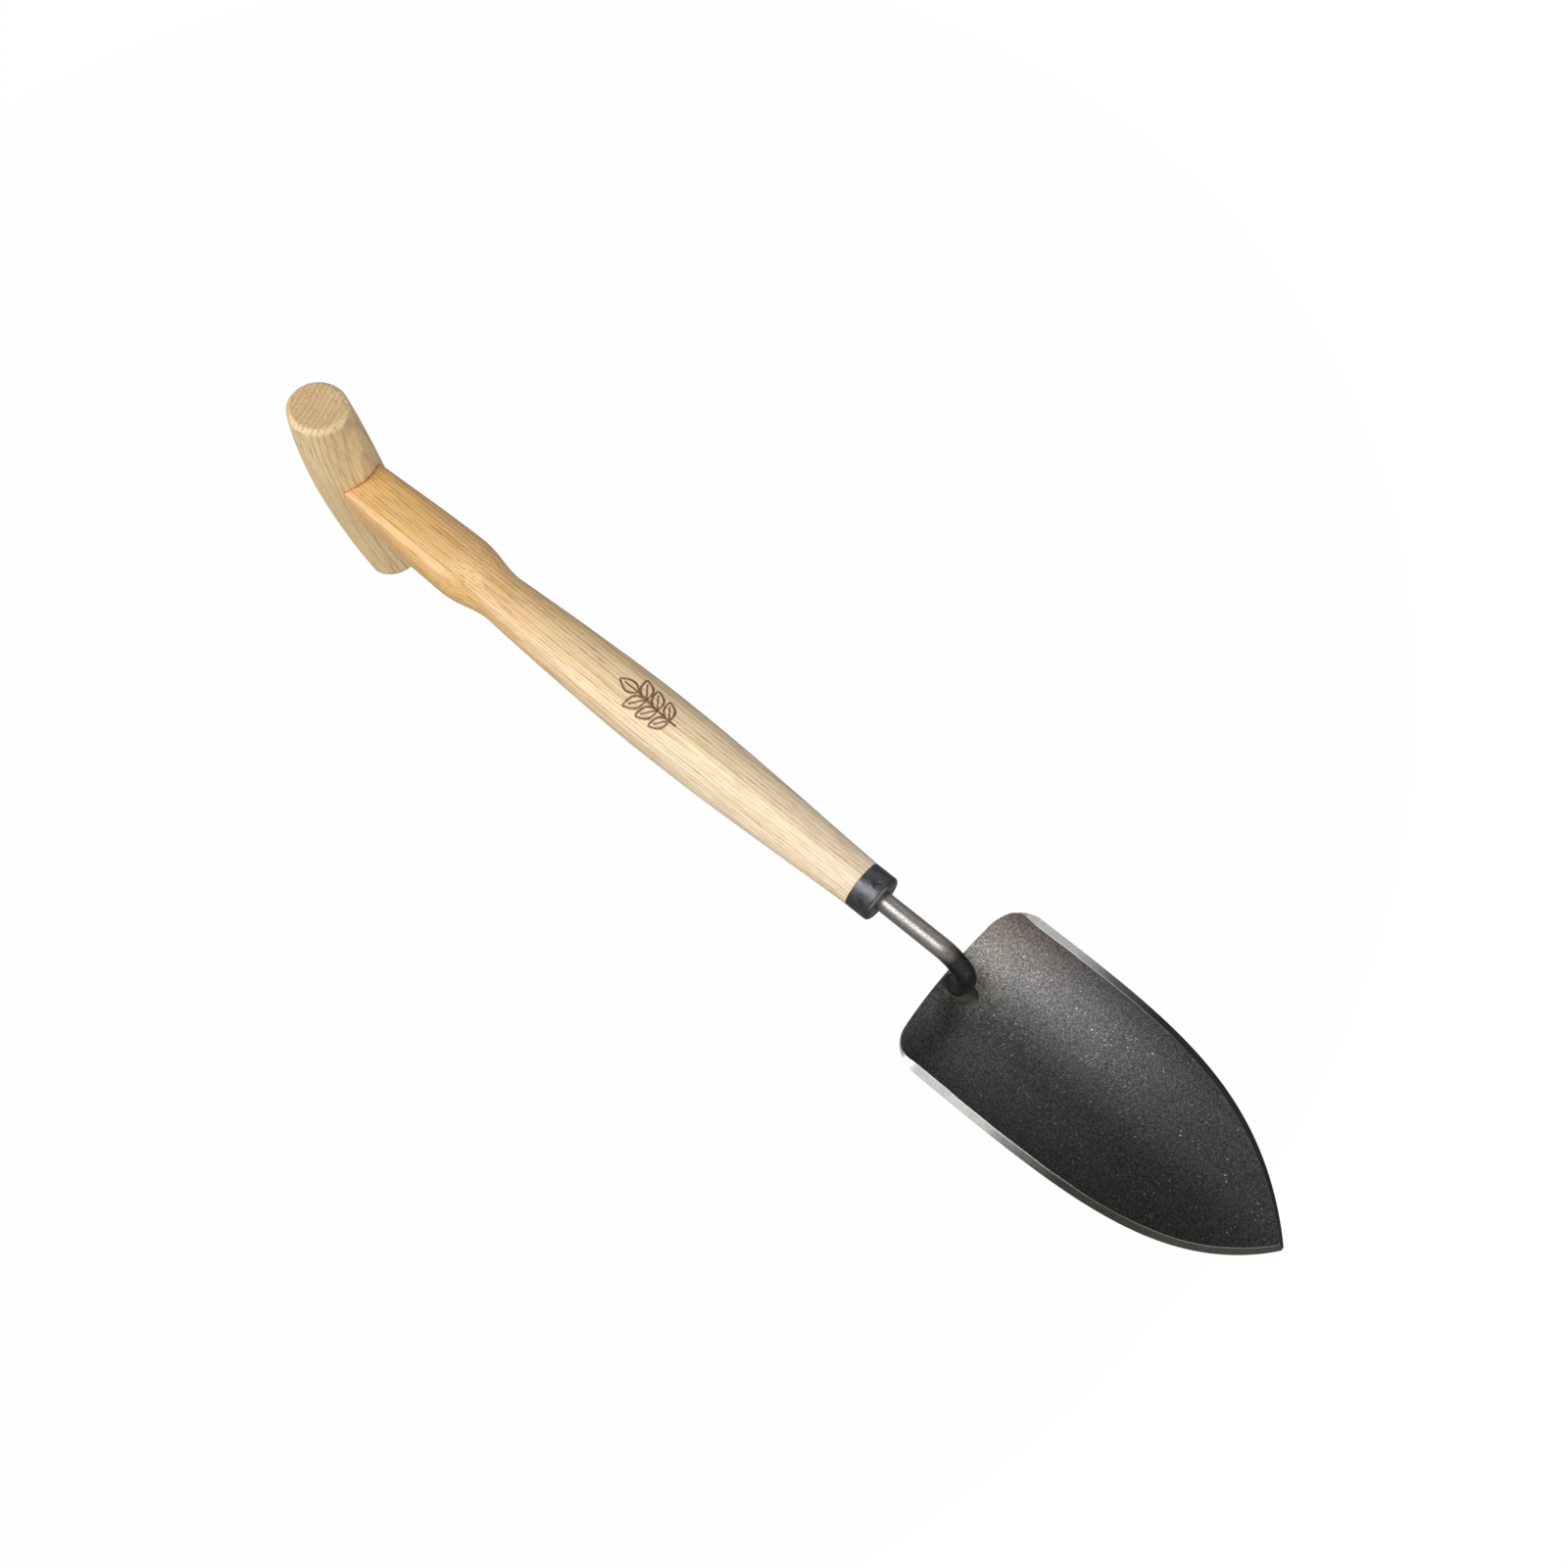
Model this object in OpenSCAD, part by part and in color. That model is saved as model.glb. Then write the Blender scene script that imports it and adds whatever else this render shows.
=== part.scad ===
// Hand transplanter: a short garden trowel with a deep trough blade, a cranked
// steel tang, a turned ash shaft and a bent ash crosspiece.
// Millimetres. +X runs along the shaft to the blade's tip, +Z out of the hollow.

/* [Blade] */
// Width across the shoulders
blade_width = 84; // [76:1:96]
// Distance from the front of the ferrule to the tip
blade_reach = 199; // [185:1:215]
// Distance from the front of the ferrule to the middle of the top edge
blade_start = 34; // [32:0.5:38]
// Thickness of the pressed sheet
blade_thick = 2.5; // [2:0.1:3.5]
// Radius of the hollow, measured across the blade
hollow_r = 64; // [58:1:90]
// Floor of the hollow below the centre line of the shaft
hollow_drop = 31.7; // [30:0.1:36]
// Slope of the floor, rising towards the tip, in degrees
blade_tilt = 0.7; // [0:0.1:1.5]
// Radius of the two shoulder corners
shoulder_r = 16; // [10:1:20]
// How far the middle of the top edge stands out towards the handle
edge_bow = 1.7; // [0.5:0.1:3]
// Width of the ground bevel at the shoulders
bevel_side = 3.6; // [2:0.1:5]
// Width of the ground bevel at the tip
bevel_tip = 2; // [1:0.1:3]
// Width of the blunt end of the tip
tip_flat = 1.2; // [0.6:0.1:3]

/* [Tang] */
// Diameter of the round bar
tang_d = 8.6; // [7.5:0.1:9.5]
// Straight length in front of the ferrule
tang_straight = 29; // [26:0.5:31]
// Radius of the elbow, on the centre line of the bar
elbow_r = 15; // [12:0.5:16]
// Angle of the elbow in degrees
elbow_angle = 100; // [90:1:104]
// Length of the spike hidden in the shaft
spike_len = 85; // [60:1:100]

/* [Weld] */
// Height of the weld bead round the foot of the tang
bead_h = 2.4; // [1.5:0.1:3.5]
// Spread of the weld bead beyond the bar
bead_spread = 2.2; // [1.2:0.1:3]
// Radius of the run-out lump in front of the foot
lump_r = 3.8; // [3:0.1:4.5]

/* [Ferrule] */
// Outside diameter
ferrule_d = 20.8; // [19:0.1:24]
// Length
ferrule_len = 11.4; // [9:0.1:16]
// Wall thickness
ferrule_wall = 1; // [0.8:0.1:1.5]
// Rounding of the front edge
ferrule_round = 1.8; // [1.5:0.1:2.5]
// Diameter of the locking nail
nail_d = 2.4; // [1.8:0.1:3]
// Length of the locking nail
nail_len = 5; // [4:0.1:5.5]
// Angle of the nail round the ferrule, from straight up, in degrees
nail_angle = 8; // [-30:1:30]

/* [Shaft] */
// Diameter of the long belly
belly_d = 29.8; // [27:0.1:32]
// Distance from the ferrule's front to the belly's widest point
belly_at = 130; // [110:1:145]
// Diameter of the waist
waist_d = 23.4; // [21:0.1:26]
// Distance from the ferrule's front to the waist
waist_at = 221; // [210:1:228]
// Diameter of the bulge behind the waist
bulge_d = 31.4; // [29:0.1:33]
// Distance from the ferrule's front to the bulge's widest point
bulge_at = 249; // [244:1:256]
// Distance across the two side flats where the shaft meets the crosspiece
flat_sides = 24.4; // [22:0.1:28]
// Height of the upper flat above the centre line at the crosspiece
flat_top = 12.4; // [11:0.1:14]
// Depth of the lower flat below the centre line at the crosspiece
flat_bottom = 11.4; // [10:0.1:14]
// Taper of the four flats in degrees
flat_taper = 3.7; // [2:0.1:4.5]

/* [Crosspiece] */
// Distance from the front of the ferrule to the crosspiece's centre line
cross_at = 326; // [315:1:335]
// Diameter in the middle
cross_mid_d = 32.8; // [30:0.1:36]
// Diameter at both ends
cross_end_d = 27.2; // [24:0.1:30]
// Length above the shaft's centre line
cross_up = 55; // [45:0.5:70]
// Length below the shaft's centre line
cross_down = 62; // [45:0.5:70]
// Radius of the bend
bend_r = 303; // [240:1:600]
// Size of the chamfer round each end face
cross_chamfer = 2.3; // [1:0.1:3]

/* [Joint] */
// Diameter of the hidden dowel
dowel_d = 10; // [8:0.5:12]
// Depth of the dowel in the crosspiece
dowel_in_cross = 18; // [12:0.5:22]
// Depth of the dowel in the shaft
dowel_in_shaft = 26; // [15:0.5:35]

/* [Hidden] */

steel_dark = [0.17, 0.17, 0.18];
steel_bright = [0.55, 0.53, 0.51];
steel_weld = [0.24, 0.21, 0.18];
ash_shaft = [0.87, 0.70, 0.46];
ash_cross = [0.82, 0.68, 0.50];
beech = [0.80, 0.62, 0.42];

// Whole part: the crosspiece's lowest point lies at z = 0, and the origin is
// below the middle of the length.
deg_per_mm = 180 / (PI * bend_r);
up_angle = cross_up * deg_per_mm;
down_angle = cross_down * deg_per_mm;
end_face_r = cross_end_d / 2 - cross_chamfer;
low_point = (bend_r + end_face_r) * sin(down_angle);
mid_length = (blade_reach - cross_at - cross_mid_d / 2) / 2;
shift = [-mid_length, 0, low_point];

// Blade
half_w = blade_width / 2;
side_power = 5.54;
side_root = 0.954;
side_tip = blade_reach;
corner_x = blade_start + edge_bow + shoulder_r;
corner_w = half_w - shoulder_r;
corner_ribs = 8;
side_ribs = 26;
ribs = corner_ribs + side_ribs;
strips = 16;
tip_crowding = 1.5;
bevel_start = 0.5;
bevel_full_angle = 60;
edge_land = 0.35;
tilt_origin = 110;
cut_reach = 300;

// Tang and weld
tang_r = tang_d / 2;
spike_taper = 14;
spike_tip_r = 1.5;
elbow_end_x = tang_straight + elbow_r * sin(elbow_angle);
elbow_end_z = elbow_r * (cos(elbow_angle) - 1);
leg_len = 18;
leg_overlap = 0.5;
leg_r = tang_r - 0.02;
leg_drop = hollow_drop + elbow_end_z + (tilt_origin - elbow_end_x) * tan(blade_tilt);
foot_x = elbow_end_x + leg_drop / tan(elbow_angle);
foot_z = elbow_end_z - leg_drop;
bead_depth = 4;
lump_ahead = 5.2;
lump_lift = -0.4;

// Ferrule
ferrule_r = ferrule_d / 2;
spigot_r = ferrule_r - ferrule_wall;
nail_at = 4.1;
nail_sunk = 0.3;

// Shaft
profile_step = 1 / 14;
shaft_front_r = ferrule_r + 0.05;
shaft_back_r = 15;
flat_at = cross_at - cross_mid_d / 2;
flat_len = 90;
flat_lead = 45;
flat_box = 40;
cope_span = 12;

// Crosspiece
cross_rings = 24;
cross_sides = 36;

// ---- blade ----

function hollow_z(x, w, r) =
    -hollow_drop + (x - tilt_origin) * tan(blade_tilt) + hollow_r - sqrt(r * r - w * w);

function side_w(x, wide, tip) =
    tip_flat / 2 + (wide - tip_flat / 2) * pow(max(0, 1 - pow(x / tip, side_power)), side_root);

function ease(t) = (1 - cos(180 * min(1, max(0, t)))) / 2;

// Width of the bevel at each rib: it fades in round the shoulder corner.
function bevel_at(j) = j < corner_ribs
    ? bevel_start + (bevel_side - bevel_start) * ease(90 * j / corner_ribs / bevel_full_angle)
    : bevel_side + (bevel_tip - bevel_side) * (j - corner_ribs) / side_ribs;

// Point [x, w] of the outline at rib j, moved in by a bevel width.
function rim(j, inset) = j < corner_ribs
    ? let (a = 90 * j / corner_ribs, r = shoulder_r - inset)
        [corner_x - r * cos(a), corner_w + r * sin(a)]
    : let (t = 1 - pow(1 - (j - corner_ribs) / side_ribs, tip_crowding),
           tip = side_tip - 1.35 * inset,
           x = corner_x + (tip - corner_x) * t)
        [x, side_w(x, half_w - inset, tip)];

// Point across a rib at the fraction f from -1 to 1.
function rib_point(j, f, edge, r) =
    let (bow = edge_bow / (corner_w * corner_w) * (1 - j / ribs),
         w = f * edge[1],
         x = edge[0] - bow * (edge[1] * edge[1] - w * w))
        [x, w, hollow_z(x, w, r)];

function rib_ring(j) =
    let (back = rim(j, 0), front = rim(j, bevel_at(j)), rb = hollow_r + blade_thick)
        concat(
            [for (i = [0:strips]) rib_point(j, 2 * i / strips - 1, back, rb)],
            [rib_point(j, 1, back, rb) + [0, 0, edge_land]],
            [for (i = [strips:-1:0]) rib_point(j, 2 * i / strips - 1, front, hollow_r)],
            [rib_point(j, -1, back, rb) + [0, 0, edge_land]]);

ring_size = 2 * (strips + 1) + 2;

// Triangles of the two end caps, given the number of a ring's first point.
function cap(first) = concat(
    [for (i = [0:strips - 1]) [first + i, first + i + 1, first + 2 * strips + 1 - i]],
    [for (i = [0:strips - 1]) [first + i, first + 2 * strips + 1 - i, first + 2 * strips + 2 - i]],
    [[first + strips, first + strips + 1, first + strips + 2]],
    [[first, first + 2 * strips + 2, first + 2 * strips + 3]]);

function flipped(faces) = [for (f = faces) [f[2], f[1], f[0]]];

// Triangles that join each ring of a loft to the next one.
function walls(rings, size) = [
    for (j = [0:rings - 1])
        for (i = [0:size - 1])
            let (a = j * size + i, b = j * size + (i + 1) % size)
                each [[a, a + size, b], [b, a + size, b + size]]
];

module blade() {
    points = [for (j = [0:ribs]) each rib_ring(j)];
    faces = concat(walls(ribs, ring_size), cap(0), flipped(cap(ribs * ring_size)));
    color(steel_dark)
        polyhedron(points, faces);
}

// Bar that fills the hollow: everything above the blade's front surface.
module hollow_bar() {
    translate([tilt_origin, 0, hollow_r - hollow_drop])
        rotate([0, 90 - blade_tilt, 0])
            cylinder(h = 2 * cut_reach, r = hollow_r, center = true, $fn = 180);
}

// ---- tang ----

module bar_elbow() {
    translate([tang_straight, 0, -elbow_r])
        rotate([-90, -90, 0])
            rotate_extrude(angle = elbow_angle, $fn = 120)
                translate([elbow_r, 0])
                    circle(r = tang_r, $fn = 48);
}

// The leg is drawn down a hair finer than the elbow and starts just inside it.
module bar_leg() {
    translate([elbow_end_x, 0, elbow_end_z])
        rotate([0, 90 + elbow_angle, 0])
            translate([0, 0, -leg_overlap])
                cylinder(h = leg_len, r = leg_r, $fn = 48);
}

module bar_spike() {
    translate([-spike_len + spike_taper, 0, 0])
        rotate([0, 90, 0])
            cylinder(h = spike_len - spike_taper + tang_straight, r = tang_r, $fn = 48);
    translate([-spike_len, 0, 0])
        rotate([0, 90, 0])
            cylinder(h = spike_taper, r1 = spike_tip_r, r2 = tang_r, $fn = 48);
}

module tang() {
    color(steel_bright)
        union() {
            bar_spike();
            bar_elbow();
            intersection() {
                bar_leg();
                hollow_bar();
            }
        }
}

module weld_bead() {
    color(steel_weld)
        difference() {
            intersection() {
                union() {
                    translate([foot_x, 0, foot_z])
                        rotate([0, elbow_angle - 90, 0])
                            translate([0, 0, -bead_depth])
                                cylinder(h = bead_depth + bead_h, r1 = tang_r + 2 * bead_spread,
                                         r2 = tang_r + 0.2, $fn = 48);
                    translate([foot_x + lump_ahead, 0, foot_z + lump_lift])
                        sphere(r = lump_r, $fn = 48);
                }
                hollow_bar();
            }
            bar_leg();
            bar_elbow();
        }
}

// ---- ferrule ----

module ferrule_profile() {
    difference() {
        union() {
            square([ferrule_r, ferrule_len - ferrule_round]);
            square([ferrule_r - ferrule_round, ferrule_len]);
            translate([ferrule_r - ferrule_round, ferrule_len - ferrule_round])
                circle(r = ferrule_round, $fn = 48);
        }
        translate([0, -1])
            square([spigot_r, ferrule_len - ferrule_wall + 1]);
        square([tang_r, ferrule_len + 1]);
    }
}

module nail_bar() {
    translate([-nail_at, 0, 0])
        rotate([-nail_angle, 0, 0])
            translate([0, 0, ferrule_r - nail_sunk - nail_len])
                cylinder(h = nail_len, d = nail_d, $fn = 32);
}

module nail_hole() {
    translate([-nail_at, 0, 0])
        rotate([-nail_angle, 0, 0])
            translate([0, 0, ferrule_r - nail_sunk - nail_len])
                cylinder(h = nail_len + 2, d = nail_d, $fn = 32);
}

module ferrule() {
    color(steel_dark)
        difference() {
            translate([-ferrule_len, 0, 0])
                rotate([0, 90, 0])
                    rotate_extrude($fn = 96)
                        ferrule_profile();
            nail_hole();
        }
}

module ferrule_nail() {
    color(steel_dark)
        nail_bar();
}

// ---- shaft ----

// Radius of the turned shaft at the distance x behind the ferrule's front.
function shaft_r(x) =
    x < belly_at
        ? shaft_front_r + (belly_d / 2 - shaft_front_r)
            * sin(90 * pow((x - ferrule_len) / (belly_at - ferrule_len), 1.12))
        : x < waist_at
            ? belly_d / 2 + (waist_d - belly_d) / 2
                * pow((x - belly_at) / (waist_at - belly_at), 1.5)
            : x < bulge_at
                ? waist_d / 2 + (bulge_d - waist_d) / 2
                    * ease((x - waist_at) / (bulge_at - waist_at))
                : bulge_d / 2 + (shaft_back_r - bulge_d / 2)
                    * ease((x - bulge_at) / (cross_at - bulge_at));

function stretch(from, to) = [
    for (t = [profile_step:profile_step:1.001])
        let (x = from + (to - from) * t)
            [shaft_r(x), x]
];

module shaft_blank() {
    rotate([0, -90, 0])
        rotate_extrude($fn = 96)
            polygon(concat(
                [[0, ferrule_wall], [spigot_r, ferrule_wall], [spigot_r, ferrule_len],
                 [shaft_front_r, ferrule_len]],
                stretch(ferrule_len, belly_at),
                stretch(belly_at, waist_at),
                stretch(waist_at, bulge_at),
                stretch(bulge_at, cross_at),
                [[0, cross_at]]));
}

// Block beyond one flat, turned to the angle a round the shaft.
module beyond_flat(a, height) {
    rotate([a, 0, 0])
        translate([-flat_at, 0, height])
            rotate([0, -flat_taper, 0])
                translate([-flat_lead, -flat_box / 2, 0])
                    cube([flat_lead + flat_len, flat_box, flat_box]);
}

// Middle stretch of the crosspiece as a plain bent bar, for the saddle cut.
module cope_bar() {
    translate([bend_r - cross_at, 0, 0])
        rotate([90, 0, 0])
            rotate([0, 0, 180 - cope_span / 2])
                rotate_extrude(angle = cope_span, $fn = 360)
                    translate([bend_r, 0])
                        circle(d = cross_mid_d, $fn = 72);
}

module dowel_bar() {
    translate([-flat_at - dowel_in_cross, 0, 0])
        rotate([0, 90, 0])
            cylinder(h = dowel_in_cross + dowel_in_shaft, d = dowel_d, $fn = 48);
}

module handle_shaft() {
    color(ash_shaft)
        difference() {
            shaft_blank();
            beyond_flat(0, flat_top);
            beyond_flat(180, flat_bottom);
            beyond_flat(90, flat_sides / 2);
            beyond_flat(-90, flat_sides / 2);
            cope_bar();
            dowel_bar();
            bar_spike();
            nail_hole();
        }
}

// ---- crosspiece ----

function cross_r(u) = (cross_mid_d - (cross_mid_d - cross_end_d) * u * u) / 2;

// Centre line at the angle a: the bend's centre lies on the blade's side.
function cross_ring(a, r) = [
    for (i = [0:cross_sides - 1])
        let (q = 360 * i / cross_sides, reach = bend_r - r * cos(q))
            [bend_r - cross_at - reach * cos(a), r * sin(q), reach * sin(a)]
];

module crosspiece() {
    chamfer_angle = cross_chamfer * deg_per_mm;
    from = -down_angle + chamfer_angle;
    to = up_angle - chamfer_angle;
    points = concat(
        cross_ring(-down_angle, end_face_r),
        [for (k = [0:cross_rings])
            let (a = from + (to - from) * k / cross_rings,
                 u = a < 0 ? a / from : a / to)
                each cross_ring(a, cross_r(u))],
        cross_ring(up_angle, end_face_r));
    last = (cross_rings + 2) * cross_sides;
    faces = concat(
        walls(cross_rings + 2, cross_sides),
        [[for (i = [0:cross_sides - 1]) i]],
        [[for (i = [cross_sides - 1:-1:0]) last + i]]);
    color(ash_cross)
        difference() {
            polyhedron(points, faces);
            dowel_bar();
        }
}

module joint_dowel() {
    color(beech)
        dowel_bar();
}

translate(shift) {
    blade();
    tang();
    weld_bead();
    ferrule();
    ferrule_nail();
    handle_shaft();
    crosspiece();
    joint_dowel();
}
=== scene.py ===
"""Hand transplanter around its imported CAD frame: steel blade, tang, weld and ferrule, ash shaft and crosspiece."""

import math

import bmesh
import bpy
import numpy as np
from mathutils import Matrix, Vector, noise


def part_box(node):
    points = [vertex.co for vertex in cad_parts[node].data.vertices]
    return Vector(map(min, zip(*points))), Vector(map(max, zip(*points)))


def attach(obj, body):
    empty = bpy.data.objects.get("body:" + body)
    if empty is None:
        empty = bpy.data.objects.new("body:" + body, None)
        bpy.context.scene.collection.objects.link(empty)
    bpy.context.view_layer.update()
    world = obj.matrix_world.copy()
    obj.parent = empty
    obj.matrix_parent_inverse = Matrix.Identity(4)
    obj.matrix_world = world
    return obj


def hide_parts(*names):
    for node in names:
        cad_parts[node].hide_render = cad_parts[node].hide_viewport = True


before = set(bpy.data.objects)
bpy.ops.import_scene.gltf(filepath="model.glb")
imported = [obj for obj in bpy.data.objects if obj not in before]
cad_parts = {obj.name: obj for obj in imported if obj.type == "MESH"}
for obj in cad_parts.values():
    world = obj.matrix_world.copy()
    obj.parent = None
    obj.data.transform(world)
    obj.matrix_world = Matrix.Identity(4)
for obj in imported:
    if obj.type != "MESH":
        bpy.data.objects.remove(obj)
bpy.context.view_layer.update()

MM = 0.001
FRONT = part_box("ferrule")[1].x / MM
AXIS_Z = sum(corner.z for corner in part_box("ferrule")) / 2 / MM


# ---------------------------------------------------------------- shared helpers

def wobble(x, y=0.0, z=0.0, size=1.0):
    """Smooth seedless noise from -1 to 1, with bumps of about the given size."""
    return noise.noise(Vector((x / size, y / size, z / size)))


def ease(t):
    t = min(1.0, max(0.0, t))
    return t * t * (3 - 2 * t)


def face_outward(mesh):
    """Turns every face of a closed mesh outward, whichever way round it was listed."""
    shell = bmesh.new()
    shell.from_mesh(mesh)
    bmesh.ops.recalc_face_normals(shell, faces=shell.faces)
    if shell.calc_volume(signed=True) < 0:
        bmesh.ops.reverse_faces(shell, faces=shell.faces)
    shell.to_mesh(mesh)
    shell.free()


def piece(name, points, faces, materials, node, face_material=None, sharp=35.0):
    """Mesh from points in mm, measured from the shaft's axis at the ferrule's front face."""
    mesh = bpy.data.meshes.new(name)
    placed = [((x + FRONT) * MM, y * MM, (z + AXIS_Z) * MM) for x, y, z in points]
    mesh.from_pydata(placed, [], faces)
    for material in materials:
        mesh.materials.append(material)
    if face_material:
        mesh.polygons.foreach_set("material_index", face_material)
    face_outward(mesh)
    mesh.shade_smooth()
    mesh.set_sharp_from_angle(angle=math.radians(sharp))
    obj = bpy.data.objects.new(name, mesh)
    bpy.context.scene.collection.objects.link(obj)
    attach(obj, "root")
    if node:
        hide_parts(node)
    return obj


def tube_faces(rings, size, first=0):
    """Quads between rings of equal size, each ring closed."""
    faces = []
    for j in range(rings - 1):
        for i in range(size):
            a = first + j * size + i
            b = first + j * size + (i + 1) % size
            faces.append((a, a + size, b + size, b))
    return faces


def turned(faces):
    """The same faces listed the other way round, which also decides how their quads are split."""
    return [tuple(reversed(f)) for f in faces]


def vector_attribute(obj, name, values):
    layer = obj.data.attributes.new(name, "FLOAT_VECTOR", "POINT")
    layer.data.foreach_set("vector", np.array(values, np.float32).ravel())


def float_attribute(obj, name, values):
    layer = obj.data.attributes.new(name, "FLOAT", "POINT")
    layer.data.foreach_set("value", np.array(values, np.float32))


class Nodes:
    """Small builder for a material's node tree."""

    def __init__(self, name):
        self.material = bpy.data.materials.new(name)
        self.material.use_nodes = True
        self.tree = self.material.node_tree
        self.shader = self.tree.nodes["Principled BSDF"]

    def put(self, socket, value):
        if isinstance(value, bpy.types.NodeSocket):
            self.tree.links.new(value, socket)
        elif value is not None:
            socket.default_value = value

    def new(self, kind, **settings):
        node = self.tree.nodes.new("ShaderNode" + kind)
        for key, value in settings.items():
            setattr(node, key, value)
        return node

    def attribute(self, name, output="Vector"):
        return self.new("Attribute", attribute_name=name).outputs[output]

    def position(self):
        return self.new("TexCoord").outputs["Object"]

    def mapped(self, vector, scale, location=(0, 0, 0)):
        node = self.new("Mapping")
        self.put(node.inputs["Vector"], vector)
        node.inputs["Scale"].default_value = scale
        node.inputs["Location"].default_value = location
        return node.outputs["Vector"]

    def noise(self, vector, scale=1.0, detail=2.0, roughness=0.5, distortion=0.0):
        node = self.new("TexNoise")
        self.put(node.inputs["Vector"], vector)
        node.inputs["Scale"].default_value = scale
        node.inputs["Detail"].default_value = detail
        node.inputs["Roughness"].default_value = roughness
        node.inputs["Distortion"].default_value = distortion
        return node.outputs["Fac"]

    def math(self, operation, a, b=None, clamp=False):
        node = self.new("Math", operation=operation, use_clamp=clamp)
        self.put(node.inputs[0], a)
        self.put(node.inputs[1], b)
        return node.outputs[0]

    def range(self, value, low, high, to_low=0.0, to_high=1.0):
        node = self.new("MapRange", interpolation_type="SMOOTHSTEP")
        for socket, number in zip(node.inputs, (value, low, high, to_low, to_high)):
            self.put(socket, number)
        return node.outputs[0]

    def ramp(self, value, stops):
        node = self.new("ValToRGB")
        while len(node.color_ramp.elements) < len(stops):
            node.color_ramp.elements.new(0.5)
        for element, (place, colour) in zip(node.color_ramp.elements, stops):
            element.position = place
            element.color = (*colour, 1.0)
        self.put(node.inputs["Fac"], value)
        return node.outputs["Color"]

    def mix(self, factor, a, b, blend="MIX"):
        node = self.new("Mix", data_type="RGBA", blend_type=blend)
        self.put(node.inputs["Factor"], factor)
        for name, value in (("A", a), ("B", b)):
            socket = [s for s in node.inputs if s.name == name and s.type == "RGBA"][0]
            self.put(socket, (*value, 1.0) if isinstance(value, tuple) else value)
        return [s for s in node.outputs if s.type == "RGBA"][0]

    def tint(self, colour, by):
        return self.mix(1.0, colour, by, "MULTIPLY")

    def times(self, a, b):
        return self.math("MULTIPLY", a, b)

    def sway(self, value, noise_value, amount):
        """Value shifted by up to half the amount either way by a noise, kept within 0 and 1."""
        return self.math("ADD", value, self.times(self.math("SUBTRACT", noise_value, 0.5), amount), True)

    def split(self, vector):
        node = self.new("SeparateXYZ")
        self.put(node.inputs[0], vector)
        return node.outputs

    def join(self, x, y, z):
        node = self.new("CombineXYZ")
        for socket, value in zip(node.inputs, (x, y, z)):
            self.put(socket, value)
        return node.outputs[0]

    def bump(self, height, strength, distance, normal=None):
        node = self.new("Bump")
        node.inputs["Strength"].default_value = strength
        node.inputs["Distance"].default_value = distance
        self.put(node.inputs["Height"], height)
        self.put(node.inputs["Normal"], normal)
        return node.outputs["Normal"]

    def finish(self, **inputs):
        for key, value in inputs.items():
            socket = self.shader.inputs[key.replace("_", " ")]
            self.put(socket, (*value, 1.0) if isinstance(value, tuple) and len(value) == 3 else value)
        return self.material


# ---------------------------------------------------------------- camera

CAMERA_AT = (89.92, -142.35, 502.58)
CAMERA_AXES = ((0.7536, 0.6566, -0.0324), (-0.5916, 0.6988, 0.4020), (0.2866, -0.2837, 0.9151))
FOCAL_PX = 1328.7
CENTRE_PX = (794.95, 794.76)
PICTURE_PX = 1600


def make_camera():
    data = bpy.data.cameras.new("camera")
    data.sensor_width = 36.0
    data.lens = FOCAL_PX / PICTURE_PX * data.sensor_width
    data.shift_x = 0.5 - CENTRE_PX[0] / PICTURE_PX
    data.shift_y = CENTRE_PX[1] / PICTURE_PX - 0.5
    data.clip_start = 0.01
    obj = bpy.data.objects.new("camera", data)
    bpy.context.scene.collection.objects.link(obj)
    turn = Matrix(CAMERA_AXES).transposed().to_quaternion().to_matrix().to_4x4()
    place = Vector(((CAMERA_AT[0] + FRONT) * MM, CAMERA_AT[1] * MM, (CAMERA_AT[2] + AXIS_Z) * MM))
    obj.matrix_world = Matrix.Translation(place) @ turn
    bpy.context.scene.camera = obj


# ---------------------------------------------------------------- blade

HALF_W = 42.0
TIP_X = 199.0
START_X = 34.0
THICK = 2.5
HOLLOW_R = 64.0
HOLLOW_DROP = 31.7
BLADE_TILT = math.tan(math.radians(0.7))
TILT_ORIGIN = 110.0
SHOULDER_R = 16.0
EDGE_BOW = 1.7
BEVEL_START, BEVEL_SIDE, BEVEL_TIP = 0.4, 3.6, 2.0
BEVEL_FROM, BEVEL_OVER = 42, 46  # degrees round the shoulder corner where it starts to widen, and over how many
BEVEL_WAVE, BEVEL_WAVE_SIZE = 0.22, 11.0
SIDE_SHAPE, SIDE_POWER = 5.54, 0.954
OXIDE, GROUND = 0, 1
BLADE_SHARP = 22.0
TIP_FLAT = 1.2
LAND = 0.35
RUB_X, RUB_Y = 44.0, 6.0
CORNER_X = START_X + EDGE_BOW + SHOULDER_R
CORNER_W = HALF_W - SHOULDER_R


def hollow_z(x, w, r=HOLLOW_R):
    return -HOLLOW_DROP + (x - TILT_ORIGIN) * BLADE_TILT + HOLLOW_R - math.sqrt(r * r - w * w)


def side_w(x, wide, tip):
    shape = max(0.0, 1 - (x / tip) ** SIDE_SHAPE) ** SIDE_POWER
    return TIP_FLAT / 2 + (wide - TIP_FLAT / 2) * shape


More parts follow.
